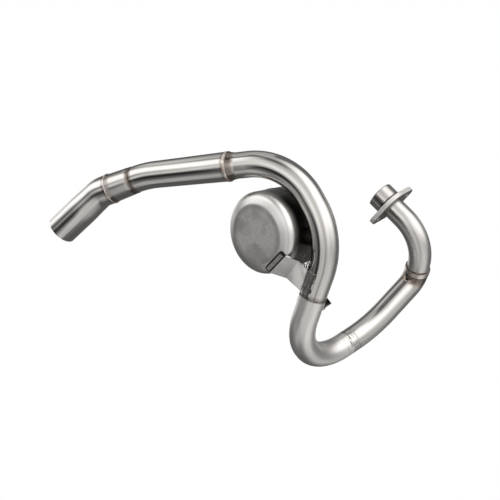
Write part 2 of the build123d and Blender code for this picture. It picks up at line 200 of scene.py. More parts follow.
# Cross scratches beside the ground weld: their spacing, and the patches that break them up
SCUFF_LINE = 3 * MM
SCUFF_PATCH = 8 * MM
# Distance from the ground weld's middle at which the belt of scratches is full
SCUFF_BELT = 21 * MM


def tube_finish(name, pale, deep, roughness, welds=(), scuff=None):
    """Stainless tube, brushed along its length and lightly polished: streaks that follow the tube.

    The streaks lie on the tube's own attributes, round and along. welds are the places, radii,
    reaches and strengths of its heat tint; scuff is the place, direction and reach of the cross
    scratches beside a ground weld.
    """
    patch_swing, streak_swing, scuff_swing = 0.12, -0.08, 0.15
    finish, tree, shader = finish_tree(name)
    place = add(tree, "ShaderNodeTexCoord").outputs["Object"]
    skin = add(tree, "ShaderNodeAttribute", attribute_name="round")
    length = add(tree, "ShaderNodeAttribute", attribute_name="along")
    girth = add(tree, "ShaderNodeVectorMath", {
        0: skin.outputs["Vector"], "Scale": PIPE_RADIUS}, operation="SCALE")
    drawn = add(tree, "ShaderNodeMath", {0: length.outputs["Fac"], 1: STREAK_DRAW}, operation="MULTIPLY")
    run = add(tree, "ShaderNodeCombineXYZ", {"Z": drawn.outputs[0]})
    brushed = add(tree, "ShaderNodeVectorMath", {0: girth.outputs[0], 1: run.outputs[0]}, operation="ADD")
    lines = add(tree, "ShaderNodeTexNoise", {
        "Vector": brushed.outputs[0], "Scale": 1 / BRUSH_LINE, "Detail": 2.0, "Roughness": 0.5})
    mottle = add(tree, "ShaderNodeTexNoise", {"Vector": place, "Scale": 1 / TUBE_PATCH, "Detail": 4.0})
    streak = add(tree, "ShaderNodeMapRange", {
        "Value": lines.outputs["Fac"], "From Min": 0.3, "From Max": 0.7})
    colour = add(tree, "ShaderNodeMix", {
        "Factor": streak.outputs[0], "A": tone(deep), "B": tone(pale)}, data_type="RGBA").outputs["Result"]
    for spot, inner, reach, strength in welds:
        near = add(tree, "ShaderNodeVectorMath", {0: place, 1: spot}, operation="DISTANCE")
        ragged = add(tree, "ShaderNodeMath", {
            0: mottle.outputs["Fac"], 1: TINT_WANDER, 2: near.outputs["Value"]}, operation="MULTIPLY_ADD")
        ring = add(tree, "ShaderNodeMapRange", {
            "Value": ragged.outputs[0], "From Min": inner + TINT_WANDER / 2,
            "From Max": math.hypot(inner, reach) + TINT_WANDER / 2})
        tint = add(tree, "ShaderNodeValToRGB", {"Fac": ring.outputs[0]})
        ramp_stops(tint, HEAT)
        fade = add(tree, "ShaderNodeMapRange", {
            "Value": ring.outputs[0], "From Min": 0.4, "From Max": 1.0, "To Min": strength, "To Max": 0.0})
        colour = add(tree, "ShaderNodeMix", {
            "Factor": fade.outputs[0], "A": colour, "B": tint.outputs["Color"]},
            data_type="RGBA").outputs["Result"]
    rub = add(tree, "ShaderNodeMath", {
        0: mottle.outputs["Fac"], 1: patch_swing, 2: roughness - patch_swing / 2}, operation="MULTIPLY_ADD")
    rough = add(tree, "ShaderNodeMath", {
        0: streak.outputs[0], 1: streak_swing, 2: rub.outputs[0]}, operation="MULTIPLY_ADD").outputs[0]
    if scuff:
        spot, way, reach = scuff
        off = add(tree, "ShaderNodeVectorMath", {0: place, 1: spot}, operation="SUBTRACT")
        down = add(tree, "ShaderNodeVectorMath", {0: off.outputs[0], 1: way}, operation="DOT_PRODUCT")
        near = add(tree, "ShaderNodeVectorMath", {0: place, 1: spot}, operation="DISTANCE")
        belt = add(tree, "ShaderNodeMapRange", {
            "Value": near.outputs["Value"], "From Min": math.hypot(SCUFF_BELT, reach),
            "From Max": SCUFF_BELT})
        scratch = add(tree, "ShaderNodeTexNoise", {
            "W": down.outputs["Value"], "Scale": 1 / SCUFF_LINE, "Detail": 3.0}, noise_dimensions="1D")
        cut = add(tree, "ShaderNodeMapRange", {
            "Value": scratch.outputs["Fac"], "From Min": 0.45, "From Max": 0.62})
        patch = add(tree, "ShaderNodeTexNoise", {"Vector": place, "Scale": 1 / SCUFF_PATCH, "Detail": 3.0})
        part = add(tree, "ShaderNodeMapRange", {
            "Value": patch.outputs["Fac"], "From Min": 0.42, "From Max": 0.60})
        worn = add(tree, "ShaderNodeMath", {0: cut.outputs[0], 1: belt.outputs[0]}, operation="MULTIPLY")
        worn = add(tree, "ShaderNodeMath", {0: worn.outputs[0], 1: part.outputs[0]}, operation="MULTIPLY")
        colour = add(tree, "ShaderNodeMix", {
            "Factor": worn.outputs[0], "A": colour, "B": tone("#5E5A56")}, data_type="RGBA").outputs["Result"]
        rough = add(tree, "ShaderNodeMath", {
            0: worn.outputs[0], 1: scuff_swing, 2: rough}, operation="MULTIPLY_ADD").outputs[0]
    tree.links.new(colour, shader.inputs["Base Color"])
    tree.links.new(rough, shader.inputs["Roughness"])
    bump = add(tree, "ShaderNodeBump", {
        "Strength": 0.05, "Distance": 0.3 * MM, "Height": lines.outputs["Fac"]})
    tree.links.new(bump.outputs[0], shader.inputs["Normal"])
    return finish


# Patches of a turned piece that handling has dulled
TURNED_PATCH = 12 * MM
# Width of the edge of the painted shade at a turned piece's end
SHADE_EDGE = 0.3 * MM


def turned_finish(name, pale, deep, roughness, axis, pitch, tint=0.0, shade_from=None, shade_tone="#7A7571"):
    """Stainless turned on a lathe: bright, with fine rings round its axis and patches of heat tint.

    Past the given distance along the axis its colour turns to the given dark tone: painted shade.
    """
    patch_swing = 0.10
    finish, tree, shader = finish_tree(name)
    place = add(tree, "ShaderNodeTexCoord").outputs["Object"]
    along = add(tree, "ShaderNodeVectorMath", {0: place, 1: axis}, operation="DOT_PRODUCT")
    rings = add(tree, "ShaderNodeTexNoise", {
        "W": along.outputs["Value"], "Scale": 1 / pitch, "Detail": 2.0}, noise_dimensions="1D")
    mottle = add(tree, "ShaderNodeTexNoise", {"Vector": place, "Scale": 1 / TURNED_PATCH, "Detail": 3.0})
    colour = add(tree, "ShaderNodeMix", {
        "Factor": rings.outputs["Fac"], "A": tone(deep), "B": tone(pale)}, data_type="RGBA").outputs["Result"]
    if tint:
        side = add(tree, "ShaderNodeMapRange", {
            "Value": mottle.outputs["Fac"], "From Min": 0.35, "From Max": 0.65, "To Max": tint})
        colour = add(tree, "ShaderNodeMix", {
            "Factor": side.outputs[0], "A": colour, "B": tone("#8C6E55")}, data_type="RGBA").outputs["Result"]
    # Painted shade: the end past the given distance is darkened
    if shade_from:
        shaded_end = add(tree, "ShaderNodeMapRange", {
            "Value": along.outputs["Value"], "From Min": shade_from, "From Max": shade_from + SHADE_EDGE,
            "To Max": 0.9})
        colour = add(tree, "ShaderNodeMix", {
            "Factor": shaded_end.outputs[0], "A": colour, "B": tone(shade_tone)}, data_type="RGBA").outputs["Result"]
    tree.links.new(colour, shader.inputs["Base Color"])
    rough = add(tree, "ShaderNodeMath", {
        0: mottle.outputs["Fac"], 1: patch_swing, 2: roughness - patch_swing / 2}, operation="MULTIPLY_ADD")
    tree.links.new(rough.outputs[0], shader.inputs["Roughness"])
    bump = add(tree, "ShaderNodeBump", {
        "Strength": 0.06, "Distance": 0.2 * MM, "Height": rings.outputs["Fac"]})
    tree.links.new(bump.outputs[0], shader.inputs["Normal"])
    return finish


# Smudges on the sheet
SHEET_SMUDGE = 14 * MM
# How far off the pipe's wall the strap's painted shade begins, and is full
SADDLE_SHADE_OUT = 5 * MM
SADDLE_SHADE_FULL = 2 * MM


def sheet_finish(name, pale, deep, roughness, grain, shaded_saddle=False):
    """Mill-finished stainless sheet: dull, evenly grained, with darker smudges.

    Where asked, it is painted a dark bluish grey where it was welded to the pipe, within a few mm of the
    pipe's wall: painted shade and painted dark reflection.
    """
    smudge_swing = 0.16
    finish, tree, shader = finish_tree(name)
    place = add(tree, "ShaderNodeTexCoord").outputs["Object"]
    speck = add(tree, "ShaderNodeTexNoise", {"Vector": place, "Scale": 1 / grain, "Detail": 4.0})
    smudge = add(tree, "ShaderNodeTexNoise", {"Vector": place, "Scale": 1 / SHEET_SMUDGE, "Detail": 3.0})
    both = add(tree, "ShaderNodeMath", {
        0: speck.outputs["Fac"], 1: smudge.outputs["Fac"]}, operation="MULTIPLY")
    span = add(tree, "ShaderNodeMapRange", {"Value": both.outputs[0], "From Min": 0.12, "From Max": 0.40})
    colour = add(tree, "ShaderNodeMix", {
        "Factor": span.outputs[0], "A": tone(deep), "B": tone(pale)}, data_type="RGBA")
    # Painted shade: dark bluish grey close to the pipe's wall
    if shaded_saddle:
        off = add(tree, "ShaderNodeVectorMath", {0: place, 1: LOOP_JOINT}, operation="SUBTRACT")
        square = add(tree, "ShaderNodeVectorMath", {
            0: off.outputs[0], 1: JOINT_RUN}, operation="CROSS_PRODUCT")
        reach = add(tree, "ShaderNodeVectorMath", {0: square.outputs[0]}, operation="LENGTH")
        saddle_shade = add(tree, "ShaderNodeMapRange", {
            "Value": reach.outputs["Value"], "From Min": PIPE_RADIUS + SADDLE_SHADE_OUT,
            "From Max": PIPE_RADIUS + SADDLE_SHADE_FULL, "To Max": 0.85})
        saddle_shade = add(tree, "ShaderNodeMath", {0: saddle_shade.outputs[0], 1: span.outputs[0]}, operation="MULTIPLY")
        colour = add(tree, "ShaderNodeMix", {
            "Factor": saddle_shade.outputs[0], "A": colour.outputs["Result"], "B": tone("#5A595C")},
            data_type="RGBA")
    tree.links.new(colour.outputs["Result"], shader.inputs["Base Color"])
    rough = add(tree, "ShaderNodeMath", {
        0: smudge.outputs["Fac"], 1: smudge_swing, 2: roughness - smudge_swing / 2}, operation="MULTIPLY_ADD")
    tree.links.new(rough.outputs[0], shader.inputs["Roughness"])
    bump = add(tree, "ShaderNodeBump", {
        "Strength": 0.07, "Distance": 0.25 * MM, "Height": speck.outputs["Fac"]})
    tree.links.new(bump.outputs[0], shader.inputs["Normal"])
    return finish


# Pits of the canister's dull disc and its clouds, drawn coarser than the real grain so that they show
DISC_PIT = 2.2 * MM
DISC_CLOUD = 30 * MM
# Half the width of the disc's soft edge, and where its darker rim begins and ends inside that edge
DISC_FADE = 3 * MM
DARK_RIM_FROM = 9 * MM
DARK_RIM_TO = 1 * MM
# Painted shade and painted dark reflection on the wall beside the pipe: none to full behind the disc's face,
# and none to full near the neck
SHADE_BEHIND_DISC = (15 * MM, 28 * MM)
SHADE_NEAR_NECK = (118 * MM, 70 * MM)


def canister_finish(name):
    """Drawn stainless cup: the raised disc keeps a dull pitted grain, the bevel and wall are satin, and the
    wall beside the pipe takes painted shade.
    """
    cloud_swing = 0.12
    finish, tree, shader = finish_tree(name)
    place = add(tree, "ShaderNodeTexCoord").outputs["Object"]
    out = add(tree, "ShaderNodeVectorMath", {0: place, 1: CAN_DISC}, operation="SUBTRACT")
    wide = add(tree, "ShaderNodeVectorMath", {0: out.outputs[0], 1: CAN_AXIS}, operation="CROSS_PRODUCT")
    far = add(tree, "ShaderNodeVectorMath", {0: wide.outputs[0]}, operation="LENGTH")
    inside = add(tree, "ShaderNodeMapRange", {
        "Value": far.outputs["Value"], "From Min": CAN_DISC_RADIUS + DISC_FADE,
        "From Max": CAN_DISC_RADIUS - DISC_FADE}, interpolation_type="SMOOTHSTEP")
    pits = add(tree, "ShaderNodeTexNoise", {
        "Vector": place, "Scale": 1 / DISC_PIT, "Detail": 5.0, "Roughness": 0.7})
    cloud = add(tree, "ShaderNodeTexNoise", {"Vector": place, "Scale": 1 / DISC_CLOUD, "Detail": 3.0})
    speck = add(tree, "ShaderNodeMapRange", {
        "Value": pits.outputs["Fac"], "From Min": 0.35, "From Max": 0.65})
    disc = add(tree, "ShaderNodeMix", {
        "Factor": speck.outputs[0], "A": tone("#D2CECA"), "B": tone("#F0EEEC")}, data_type="RGBA")
    stain = add(tree, "ShaderNodeMapRange", {
        "Value": cloud.outputs["Fac"], "From Min": 0.42, "From Max": 0.60, "To Max": 0.45})
    disc = add(tree, "ShaderNodeMix", {
        "Factor": stain.outputs[0], "A": disc.outputs["Result"], "B": tone("#8F8B87")}, data_type="RGBA")
    # The disc is darker towards its edge
    dark_rim = add(tree, "ShaderNodeMapRange", {
        "Value": far.outputs["Value"], "From Min": CAN_DISC_RADIUS - DARK_RIM_FROM,
        "From Max": CAN_DISC_RADIUS - DARK_RIM_TO, "To Max": 0.45})
    disc = add(tree, "ShaderNodeMix", {
        "Factor": dark_rim.outputs[0], "A": disc.outputs["Result"], "B": tone("#7F7B77")}, data_type="RGBA")
    satin = add(tree, "ShaderNodeMix", {
        "Factor": cloud.outputs["Fac"], "A": tone("#D3D1CE"), "B": tone("#E3E1DE")}, data_type="RGBA")
    colour = add(tree, "ShaderNodeMix", {
        "Factor": inside.outputs[0], "A": satin.outputs["Result"], "B": disc.outputs["Result"]},
        data_type="RGBA")
    # Painted shade and dark reflection: near black beside the pipe, and none on the bevel
    near = add(tree, "ShaderNodeVectorMath", {0: place, 1: NECK_PLACE}, operation="DISTANCE")
    deep = add(tree, "ShaderNodeVectorMath", {0: out.outputs[0], 1: CAN_AXIS}, operation="DOT_PRODUCT")
    shade_behind_face = add(tree, "ShaderNodeMapRange", {
        "Value": deep.outputs["Value"], "From Min": SHADE_BEHIND_DISC[0], "From Max": SHADE_BEHIND_DISC[1]})
    near_neck_shade = add(tree, "ShaderNodeMapRange", {
        "Value": near.outputs["Value"], "From Min": SHADE_NEAR_NECK[0], "From Max": SHADE_NEAR_NECK[1], "To Max": 0.95})
    neck_shade = add(tree, "ShaderNodeMath", {0: shade_behind_face.outputs[0], 1: near_neck_shade.outputs[0]}, operation="MULTIPLY")
    colour = add(tree, "ShaderNodeMix", {
        "Factor": neck_shade.outputs[0], "A": colour.outputs["Result"], "B": tone("#2B2826")}, data_type="RGBA")
    tree.links.new(colour.outputs["Result"], shader.inputs["Base Color"])
    rough = add(tree, "ShaderNodeMapRange", {"Value": inside.outputs[0], "To Min": 0.33, "To Max": 0.50})
    worn = add(tree, "ShaderNodeMath", {
        0: cloud.outputs["Fac"], 1: cloud_swing, 2: rough.outputs[0]}, operation="MULTIPLY_ADD")
    level = add(tree, "ShaderNodeMath", {0: worn.outputs[0], 1: cloud_swing / 2}, operation="SUBTRACT")
    tree.links.new(level.outputs[0], shader.inputs["Roughness"])
    depth = add(tree, "ShaderNodeMapRange", {"Value": inside.outputs[0], "To Min": 0.04, "To Max": 0.28})
    bump = add(tree, "ShaderNodeBump", {
        "Strength": depth.outputs[0], "Distance": 0.3 * MM, "Height": pits.outputs["Fac"]})
    tree.links.new(bump.outputs[0], shader.inputs["Normal"])
    return finish


# The pad's rubbed patches, and the painted shadow round its edge: none to full, measured in from the pad's
# edge
PAD_RUB = 4 * MM
EDGE_SHADE_INNER = 3.2 * MM
EDGE_SHADE_OUTER = 1.6 * MM


def pad_finish(name, node):
    """Raised pad at the strap's foot: a pale rubbed face inside a dark band of painted shadow at its edge."""
    finish, tree, shader = finish_tree(name)
    place = add(tree, "ShaderNodeTexCoord").outputs["Object"]
    rub = add(tree, "ShaderNodeTexNoise", {"Vector": place, "Scale": 1 / PAD_RUB, "Detail": 4.0})
    corners = solid_points(node)
    long, short = np.linalg.svd(corners - corners.mean(0), full_matrices=False)[2][:2]
    edge = 0.0
    for way in (long, short):
        low, high = (corners @ way).min(), (corners @ way).max()
        half = (high - low) / 2
        across = add(tree, "ShaderNodeVectorMath", {0: place, 1: tuple(way)}, operation="DOT_PRODUCT")
        shift = add(tree, "ShaderNodeMath", {
            0: across.outputs["Value"], 1: (low + high) / 2}, operation="SUBTRACT")
        gone = add(tree, "ShaderNodeMath", {0: shift.outputs[0]}, operation="ABSOLUTE")
        edge_shade_band = add(tree, "ShaderNodeMapRange", {
            "Value": gone.outputs[0], "From Min": half - EDGE_SHADE_INNER, "From Max": half - EDGE_SHADE_OUTER})
        edge = add(tree, "ShaderNodeMath", {0: edge_shade_band.outputs[0], 1: edge}, operation="MAXIMUM").outputs[0]
    face = add(tree, "ShaderNodeMix", {
        "Factor": rub.outputs["Fac"], "A": tone("#6F6B67"), "B": tone("#CFCCC8")}, data_type="RGBA")
    # Painted shadow: the band round the pad's edge is near black
    colour = add(tree, "ShaderNodeMix", {
        "Factor": edge, "A": face.outputs["Result"], "B": tone("#1B1816")}, data_type="RGBA")
    tree.links.new(colour.outputs["Result"], shader.inputs["Base Color"])
    rough = add(tree, "ShaderNodeMapRange", {"Value": rub.outputs["Fac"], "To Min": 0.22, "To Max": 0.42})
    tree.links.new(rough.outputs[0], shader.inputs["Roughness"])
    return finish


# Patches of heat colour along a weld
WELD_PATCH = 9 * MM


def weld_finish(name, pale, brown):
    """Weld metal in stainless: bright ripples with brown and pinkish heat colours in patches."""
    finish, tree, shader = finish_tree(name)
    place = add(tree, "ShaderNodeTexCoord").outputs["Object"]
    patches = add(tree, "ShaderNodeTexNoise", {"Vector": place, "Scale": 1 / WELD_PATCH, "Detail": 3.0})
    span = add(tree, "ShaderNodeMapRange", {
        "Value": patches.outputs["Fac"], "From Min": 0.36, "From Max": 0.62})
    colour = add(tree, "ShaderNodeMix", {
        "Factor": span.outputs[0], "A": tone(pale), "B": tone(brown)}, data_type="RGBA")
    tree.links.new(colour.outputs["Result"], shader.inputs["Base Color"])
    rough = add(tree, "ShaderNodeMapRange", {"Value": span.outputs[0], "To Min": 0.26, "To Max": 0.42})
    tree.links.new(rough.outputs[0], shader.inputs["Roughness"])
    return finish


# Finishes of the tubes, with the scuffs on both sides of the ground weld
SEAM_SCUFF = (GROUND_SEAM, SEAM_RUN, 17 * MM)
first_tube = tube_finish(
    "satin_stainless_first_tube", "#D4D1CD", "#C5C2BE", roughness=0.30,
    welds=[(COLLAR_FOOT, 19 * MM, 13 * MM, 0.7)])
# Its heat tint below the collar reaches far and strong: real heat tint at the weld, and painted shade under
# the collar beyond it
down_tube = tube_finish(
    "polished_stainless_down_tube", "#D4D1CD", "#C3C0BC", roughness=0.15,
    welds=[(COLLAR_FOOT, 20 * MM, 30 * MM, 0.9)], scuff=SEAM_SCUFF)
# Its paler colour than the other tubes is painted light: the same stainless, brightened
u_tube = tube_finish(
    "satin_stainless_u_bend", "#E9E6E3", "#DAD7D3", roughness=0.42,
    welds=[(LOOP_JOINT, 20.6 * MM, 9 * MM, 0.5)], scuff=SEAM_SCUFF)
loop_tube = tube_finish(
    "brushed_stainless_loop", "#D3D0CC", "#C1BEBA", roughness=0.15,
    welds=[(LOOP_JOINT, 20.6 * MM, 8 * MM, 0.5)])
mid_tube = tube_finish(
    "polished_stainless_mid_pipe", "#D4D1CD", "#C4C1BD", roughness=0.11,
    welds=[(MID_JOINT, MID_FRONT_RADIUS, 7 * MM, 0.5), (CONE_JOINT, MID_REAR_RADIUS, 6 * MM, 0.7)])
cone_tube = tube_finish(
    "polished_stainless_cone", "#D3D0CC", "#C2BFBB", roughness=0.14,
    welds=[(CONE_JOINT, MID_REAR_RADIUS, 11 * MM, 0.85), (TAIL_JOINT, 24.8 * MM, 10 * MM, 0.6)])
tail_tube = tube_finish(
    "brushed_stainless_tail", "#DDDAD7", "#C8C5C1", roughness=0.18,
    welds=[(TAIL_JOINT, TAIL_RADIUS, 7 * MM, 0.4)])
reducer_tube = tube_finish(
    "satin_stainless_reducer", "#D3D0CC", "#C1BEBA", roughness=0.20,
    welds=[(MID_JOINT, 22 * MM, 15 * MM, 0.8)])

# Finishes of the other pieces
# The ferrule's end against the flange is painted black: painted shadow where it meets the flange
FERRULE_SHADE_FROM = 20.9 * MM
ferrule_metal = turned_finish(
    "bright_turned_ferrule", "#CDC9C6", "#B6B2AF", roughness=0.22, axis=PORT_RUN, pitch=2.2 * MM,
    shade_from=FERRULE_SHADE_FROM, shade_tone="#2A2725")
collar_metal = turned_finish(
    "turned_collar", "#E2DFDB", "#C6BEB6", roughness=0.20, axis=COLLAR_RUN, pitch=2.0 * MM, tint=0.45)
# The flange is painted darker on the side that faces the pipe: painted shade
FLANGE_BACK = max(Vector(p).dot(PORT_RUN) for p in solid_points("port_flange"))
flange_metal = turned_finish(
    "machined_flange_plate", "#E9E6E4", "#DCD9D6", roughness=0.60, axis=PORT_RUN, pitch=1.8 * MM,
    shade_from=FLANGE_BACK - 0.5 * MM)
# Its paler colour, the U-bend's, is painted light
sleeve_metal = turned_finish(
    "satin_sleeve_band", "#E9E6E3", "#DAD7D3", roughness=0.40, axis=JOINT_RUN, pitch=2.0 * MM)
cup_metal = canister_finish("drawn_stainless_cup")
# The neck is painted near black: painted shade in the gap between canister and pipe
neck_shade_metal = sheet_finish("painted_shade_neck_tube", "#3A3633", "#211E1C", roughness=0.38, grain=2.0 * MM)
strap_metal = sheet_finish(
    "mill_finished_strap", "#E6E3E0", "#CFCCC9", roughness=0.24, grain=1.8 * MM, shaded_saddle=True)
# A darker sheet than the strap
lug_metal = sheet_finish("dark_lug_sheet", "#8E8A86", "#575350", roughness=0.34, grain=1.8 * MM)
pad_metal = pad_finish("raised_strap_pad", "bracket_cap_weld")
spot_bead = weld_finish("bright_spot_weld", "#C9C3BD", "#3A332E")
bead_metal = weld_finish("stainless_weld_bead", "#F0ECE8", "#C9B5A8")
dark_bead = weld_finish("dark_weld_bead", "#85817D", "#5A504A")

FINISHES = {
    "port_ferrule": ferrule_metal, "port_flange": flange_metal, "first_bend": first_tube,
    "step_collar": collar_metal, "collar_weld": dark_bead, "down_pipe": down_tube,
    "seam_weld": down_tube, "u_bend": u_tube, "joint_sleeve": sleeve_metal, "joint_weld": dark_bead,
    "upper_bend": loop_tube, "reducer_cone": reducer_tube, "mid_weld": bead_metal, "mid_pipe": mid_tube,
    "cone_weld": dark_bead, "expansion_cone": cone_tube, "tail_weld": bead_metal, "tail_pipe": tail_tube,
    "canister_front_cup": cup_metal, "canister_rear_cup": cup_metal, "canister_seam_weld": dark_bead,
    "canister_neck": neck_shade_metal, "canister_bracket": strap_metal, "bracket_cap_weld": pad_metal,
    "bracket_pipe_weld": spot_bead, "side_lug": lug_metal, "lug_weld": dark_bead,
}
for name, finish in FINISHES.items():
    if nodes[name].material_slots:
        nodes[name].material_slots[0].material = finish
    else:
        nodes[name].data.materials.append(finish)


def grow(name, places, closed, attributes, tree, settings, wall=0.0):
    """The plain mesh that a node tree makes along a line of places, with a wall turned inwards."""
    count = len(places)
    edges = [(i, i + 1) for i in range(count - 1)]
    if closed:
        edges.append((count - 1, 0))
    line = bpy.data.meshes.new(name + "_line")
    line.from_pydata([tuple(p) for p in places], edges, [])
    for label, (kind, field, values) in attributes.items():
        stored = line.attributes.new(label, kind, "POINT")
        stored.data.foreach_set(field, np.asarray(values, np.float32).ravel())
    carrier = bpy.data.objects.new(name + "_line", line)
    scene.collection.objects.link(carrier)
    modifier = carrier.modifiers.new("grown", "NODES")
    modifier.node_group = tree
    for item in tree.interface.items_tree:
        if item.name in settings:
            modifier[item.identifier] = settings[item.name]
    if wall:
        shell = carrier.modifiers.new("wall", "SOLIDIFY")
        shell.thickness = wall
        shell.offset = -1
        shell.use_even_offset = True
    bpy.context.view_layer.update()
    shaped = carrier.evaluated_get(bpy.context.evaluated_depsgraph_get())
    mesh = bpy.data.meshes.new_from_object(shaped)
    carrier.modifiers.clear()
    bpy.data.objects.remove(carrier)
    return mesh


def header_piece(name, mesh, node):
    """A finished piece of the header that stands for one of its plain solids."""
    mesh.name = name
    piece = bpy.data.objects.new(name, mesh)
    scene.collection.objects.link(piece)
    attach(piece, "header")
    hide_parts(node)
    return piece


# Tubes
TUBE_SIDES = 80
TUBE_STEP = 3 * MM
MERGE_GAP = 0.05 * MM
RIM_ANGLE = math.radians(40)
SOFTEN_STEPS = 9
RING_STEPS = 120


def tube_tree():
    """A tube's skin swept along its centre line, keeping the way round it and the length along it."""
    tree = bpy.data.node_groups.new("swept_tube", "GeometryNodeTree")
    face = tree.interface
    face.new_socket("Centre Line", in_out="INPUT", socket_type="NodeSocketGeometry")
    face.new_socket("Sides", in_out="INPUT", socket_type="NodeSocketInt")
    face.new_socket("Finish", in_out="INPUT", socket_type="NodeSocketMaterial")
    face.new_socket("Tube", in_out="OUTPUT", socket_type="NodeSocketGeometry")
    given = add(tree, "NodeGroupInput").outputs
    line = add(tree, "GeometryNodeMeshToCurve", {"Mesh": given["Centre Line"]})
    line = add(tree, "GeometryNodeStoreNamedAttribute", {
        "Geometry": line.outputs[0], "Name": "along",
        "Value": add(tree, "GeometryNodeSplineParameter").outputs["Length"]})
    ring = add(tree, "GeometryNodeCurvePrimitiveCircle", {"Resolution": given["Sides"], "Radius": 1.0})
    ring = add(tree, "GeometryNodeStoreNamedAttribute", {
        "Geometry": ring.outputs["Curve"], "Name": "round",
        "Value": add(tree, "GeometryNodeInputPosition").outputs[0]}, data_type="FLOAT_VECTOR")
    radius = add(tree, "GeometryNodeInputNamedAttribute", {"Name": "tube_radius"})
    skin = add(tree, "GeometryNodeCurveToMesh", {
        "Curve": line.outputs[0], "Profile Curve": ring.outputs[0], "Scale": radius.outputs[0]})
    closed = add(tree, "GeometryNodeMergeByDistance", {
        "Geometry": skin.outputs[0], "Distance": MERGE_GAP})
    whole = add(tree, "GeometryNodeRealizeInstances", {0: closed.outputs[0]})
    smooth = add(tree, "GeometryNodeSetShadeSmooth", {0: whole.outputs[0]})
    coated = add(tree, "GeometryNodeSetMaterial", {0: smooth.outputs[0], "Material": given["Finish"]})
    add(tree, "NodeGroupOutput", {0: coated.outputs[0]})
    return tree


SWEPT_TUBE = tube_tree()


def straight(start, end):
    """Even steps from one place to another, without the first."""
    steps = math.ceil((end - start).length / TUBE_STEP)
    return [start.lerp(end, (i + 1) / steps) for i in range(steps)]


def centre_line(start, bends, end):
    """Places along a tube: its straight runs and round bends, in even steps."""
    places = [start]
    for name in bends:
        enter = before_bend(name)
        turn = bend_angle(name)
        inward = (heading(name) - approach(name)).normalized()
        centre = CORNER[name] + inward * BEND_RADIUS[name] / math.cos(turn / 2)
        axis = approach(name).cross(heading(name))
        steps = math.ceil(turn * BEND_RADIUS[name] / TUBE_STEP)
        places += straight(places[-1], enter)
        for i in range(steps):
            places.append(centre + Matrix.Rotation(turn * (i + 1) / steps, 3, axis) @ (enter - centre))
    return places + straight(places[-1], end)


def ring_path(name):
    """A weld ring's middle, the ways out round it, its inner and outer radius, and its width."""
    cloud = solid_points(name)
    spread = cloud - cloud.mean(0)
    ways = np.linalg.svd(spread, full_matrices=False)[2]
    side, axis = ways[0], ways[2]
    other = np.cross(axis, side)
    flat = np.c_[spread @ side, spread @ other]
    fit = np.linalg.lstsq(np.c_[2 * flat, np.ones(len(flat))], (flat ** 2).sum(1), rcond=None)[0]
    high = spread @ axis
    centre = cloud.mean(0) + side * fit[0] + other * fit[1] + axis * (high.max() + high.min()) / 2
    far = np.hypot(flat[:, 0] - fit[0], flat[:, 1] - fit[1])
    angles = np.linspace(0, 2 * math.pi, RING_STEPS, endpoint=False)
    outward = np.outer(np.cos(angles), side) + np.outer(np.sin(angles), other)
    return centre, outward, far.min(), far.max(), high.max() - high.min()


def tube_piece(node, start, bends, end, widths, soften=0.0):
    """A tube along the route; widths are its outer radii at distances from its start."""
    places = centre_line(start, bends, end)
    steps = [(b - a).length for a, b in zip(places, places[1:])]
    along = np.concatenate([[0.0], np.cumsum(steps)])
    stations, radii = zip(*widths)
    shifts = np.linspace(-soften, soften, SOFTEN_STEPS)
    radius = np.mean([np.interp(along + shift, stations, radii) for shift in shifts], axis=0)
    mesh = grow(
        node + "_swept", places, False, {"tube_radius": ("FLOAT", "value", radius)}, SWEPT_TUBE,
        {"Sides": TUBE_SIDES, "Finish": FINISHES[node]}, wall=TUBE_WALL)
    mesh.set_sharp_from_angle(angle=RIM_ANGLE)
    return header_piece(node + "_swept", mesh, node)


# The ground seam stands a hair above the pipe and inside its plain solid
SEAM_SUNK = PIPE_RADIUS - 0.05 * MM
seam_middle, _, _, seam_outer, seam_width = ring_path("seam_weld")
seam_half = SEAM_RUN * seam_width / 2
seam_top = seam_outer - 0.02 * MM

tube_piece("first_bend", PORT_RUN * TUBE_IN_FERRULE, ["first"], COLLAR_FOOT, [(0, FIRST_RADIUS)])
tube_piece("down_pipe", COLLAR_FOOT, ["collar", "down"], GROUND_SEAM, [(0, PIPE_RADIUS)])
tube_piece(
    "seam_weld", Vector(seam_middle) - seam_half, [], Vector(seam_middle) + seam_half,
    [(0, SEAM_SUNK), (seam_width / 2, seam_top), (seam_width, SEAM_SUNK)],
    soften=1 * MM)
tube_piece("u_bend", GROUND_SEAM, ["u_entry", "u_exit"], LOOP_JOINT, [(0, PIPE_RADIUS)])
tube_piece("upper_bend", LOOP_JOINT, ["loop", "crown"], REDUCER_START, [(0, PIPE_RADIUS)])
tube_piece(
    "reducer_cone", REDUCER_START, [], MID_JOINT,
    [(REDUCER_LIP, PIPE_RADIUS), (REDUCER_LENGTH, MID_FRONT_RADIUS)], soften=3.5 * MM)
tube_piece(
    "mid_pipe", MID_JOINT, ["mid"], CONE_JOINT,
    [(0, MID_FRONT_RADIUS), ((MID_TAPER_END - MID_JOINT).length, MID_REAR_RADIUS)])
tube_piece(
    "expansion_cone", CONE_JOINT, [], TAIL_JOINT,
    [(0, MID_REAR_RADIUS), (CONE_LIP, CONE_FRONT_RADIUS), (CONE_LENGTH - CONE_LIP, CONE_REAR_RADIUS),
     (CONE_LENGTH, TAIL_RADIUS)], soften=2 * MM)
tube_piece(
    "tail_pipe", TAIL_JOINT, ["tail"], CORNER["outlet"],
    [(TAIL_TO_FLARE, TAIL_RADIUS), (TAIL_TO_FLARE + FLARE_LENGTH, SOCKET_RADIUS)], soften=8 * MM)

# Canister cups
CUP_SIDES = 128
ROUND_STEPS = 8
# Rings of the disc's flat middle, as shares of its flat radius; the first is almost a point
DISC_FLAT = 0.9 * CAN_DISC_RADIUS
DISC_RINGS = (0.0002, 0.2, 0.4, 0.6, 0.8)
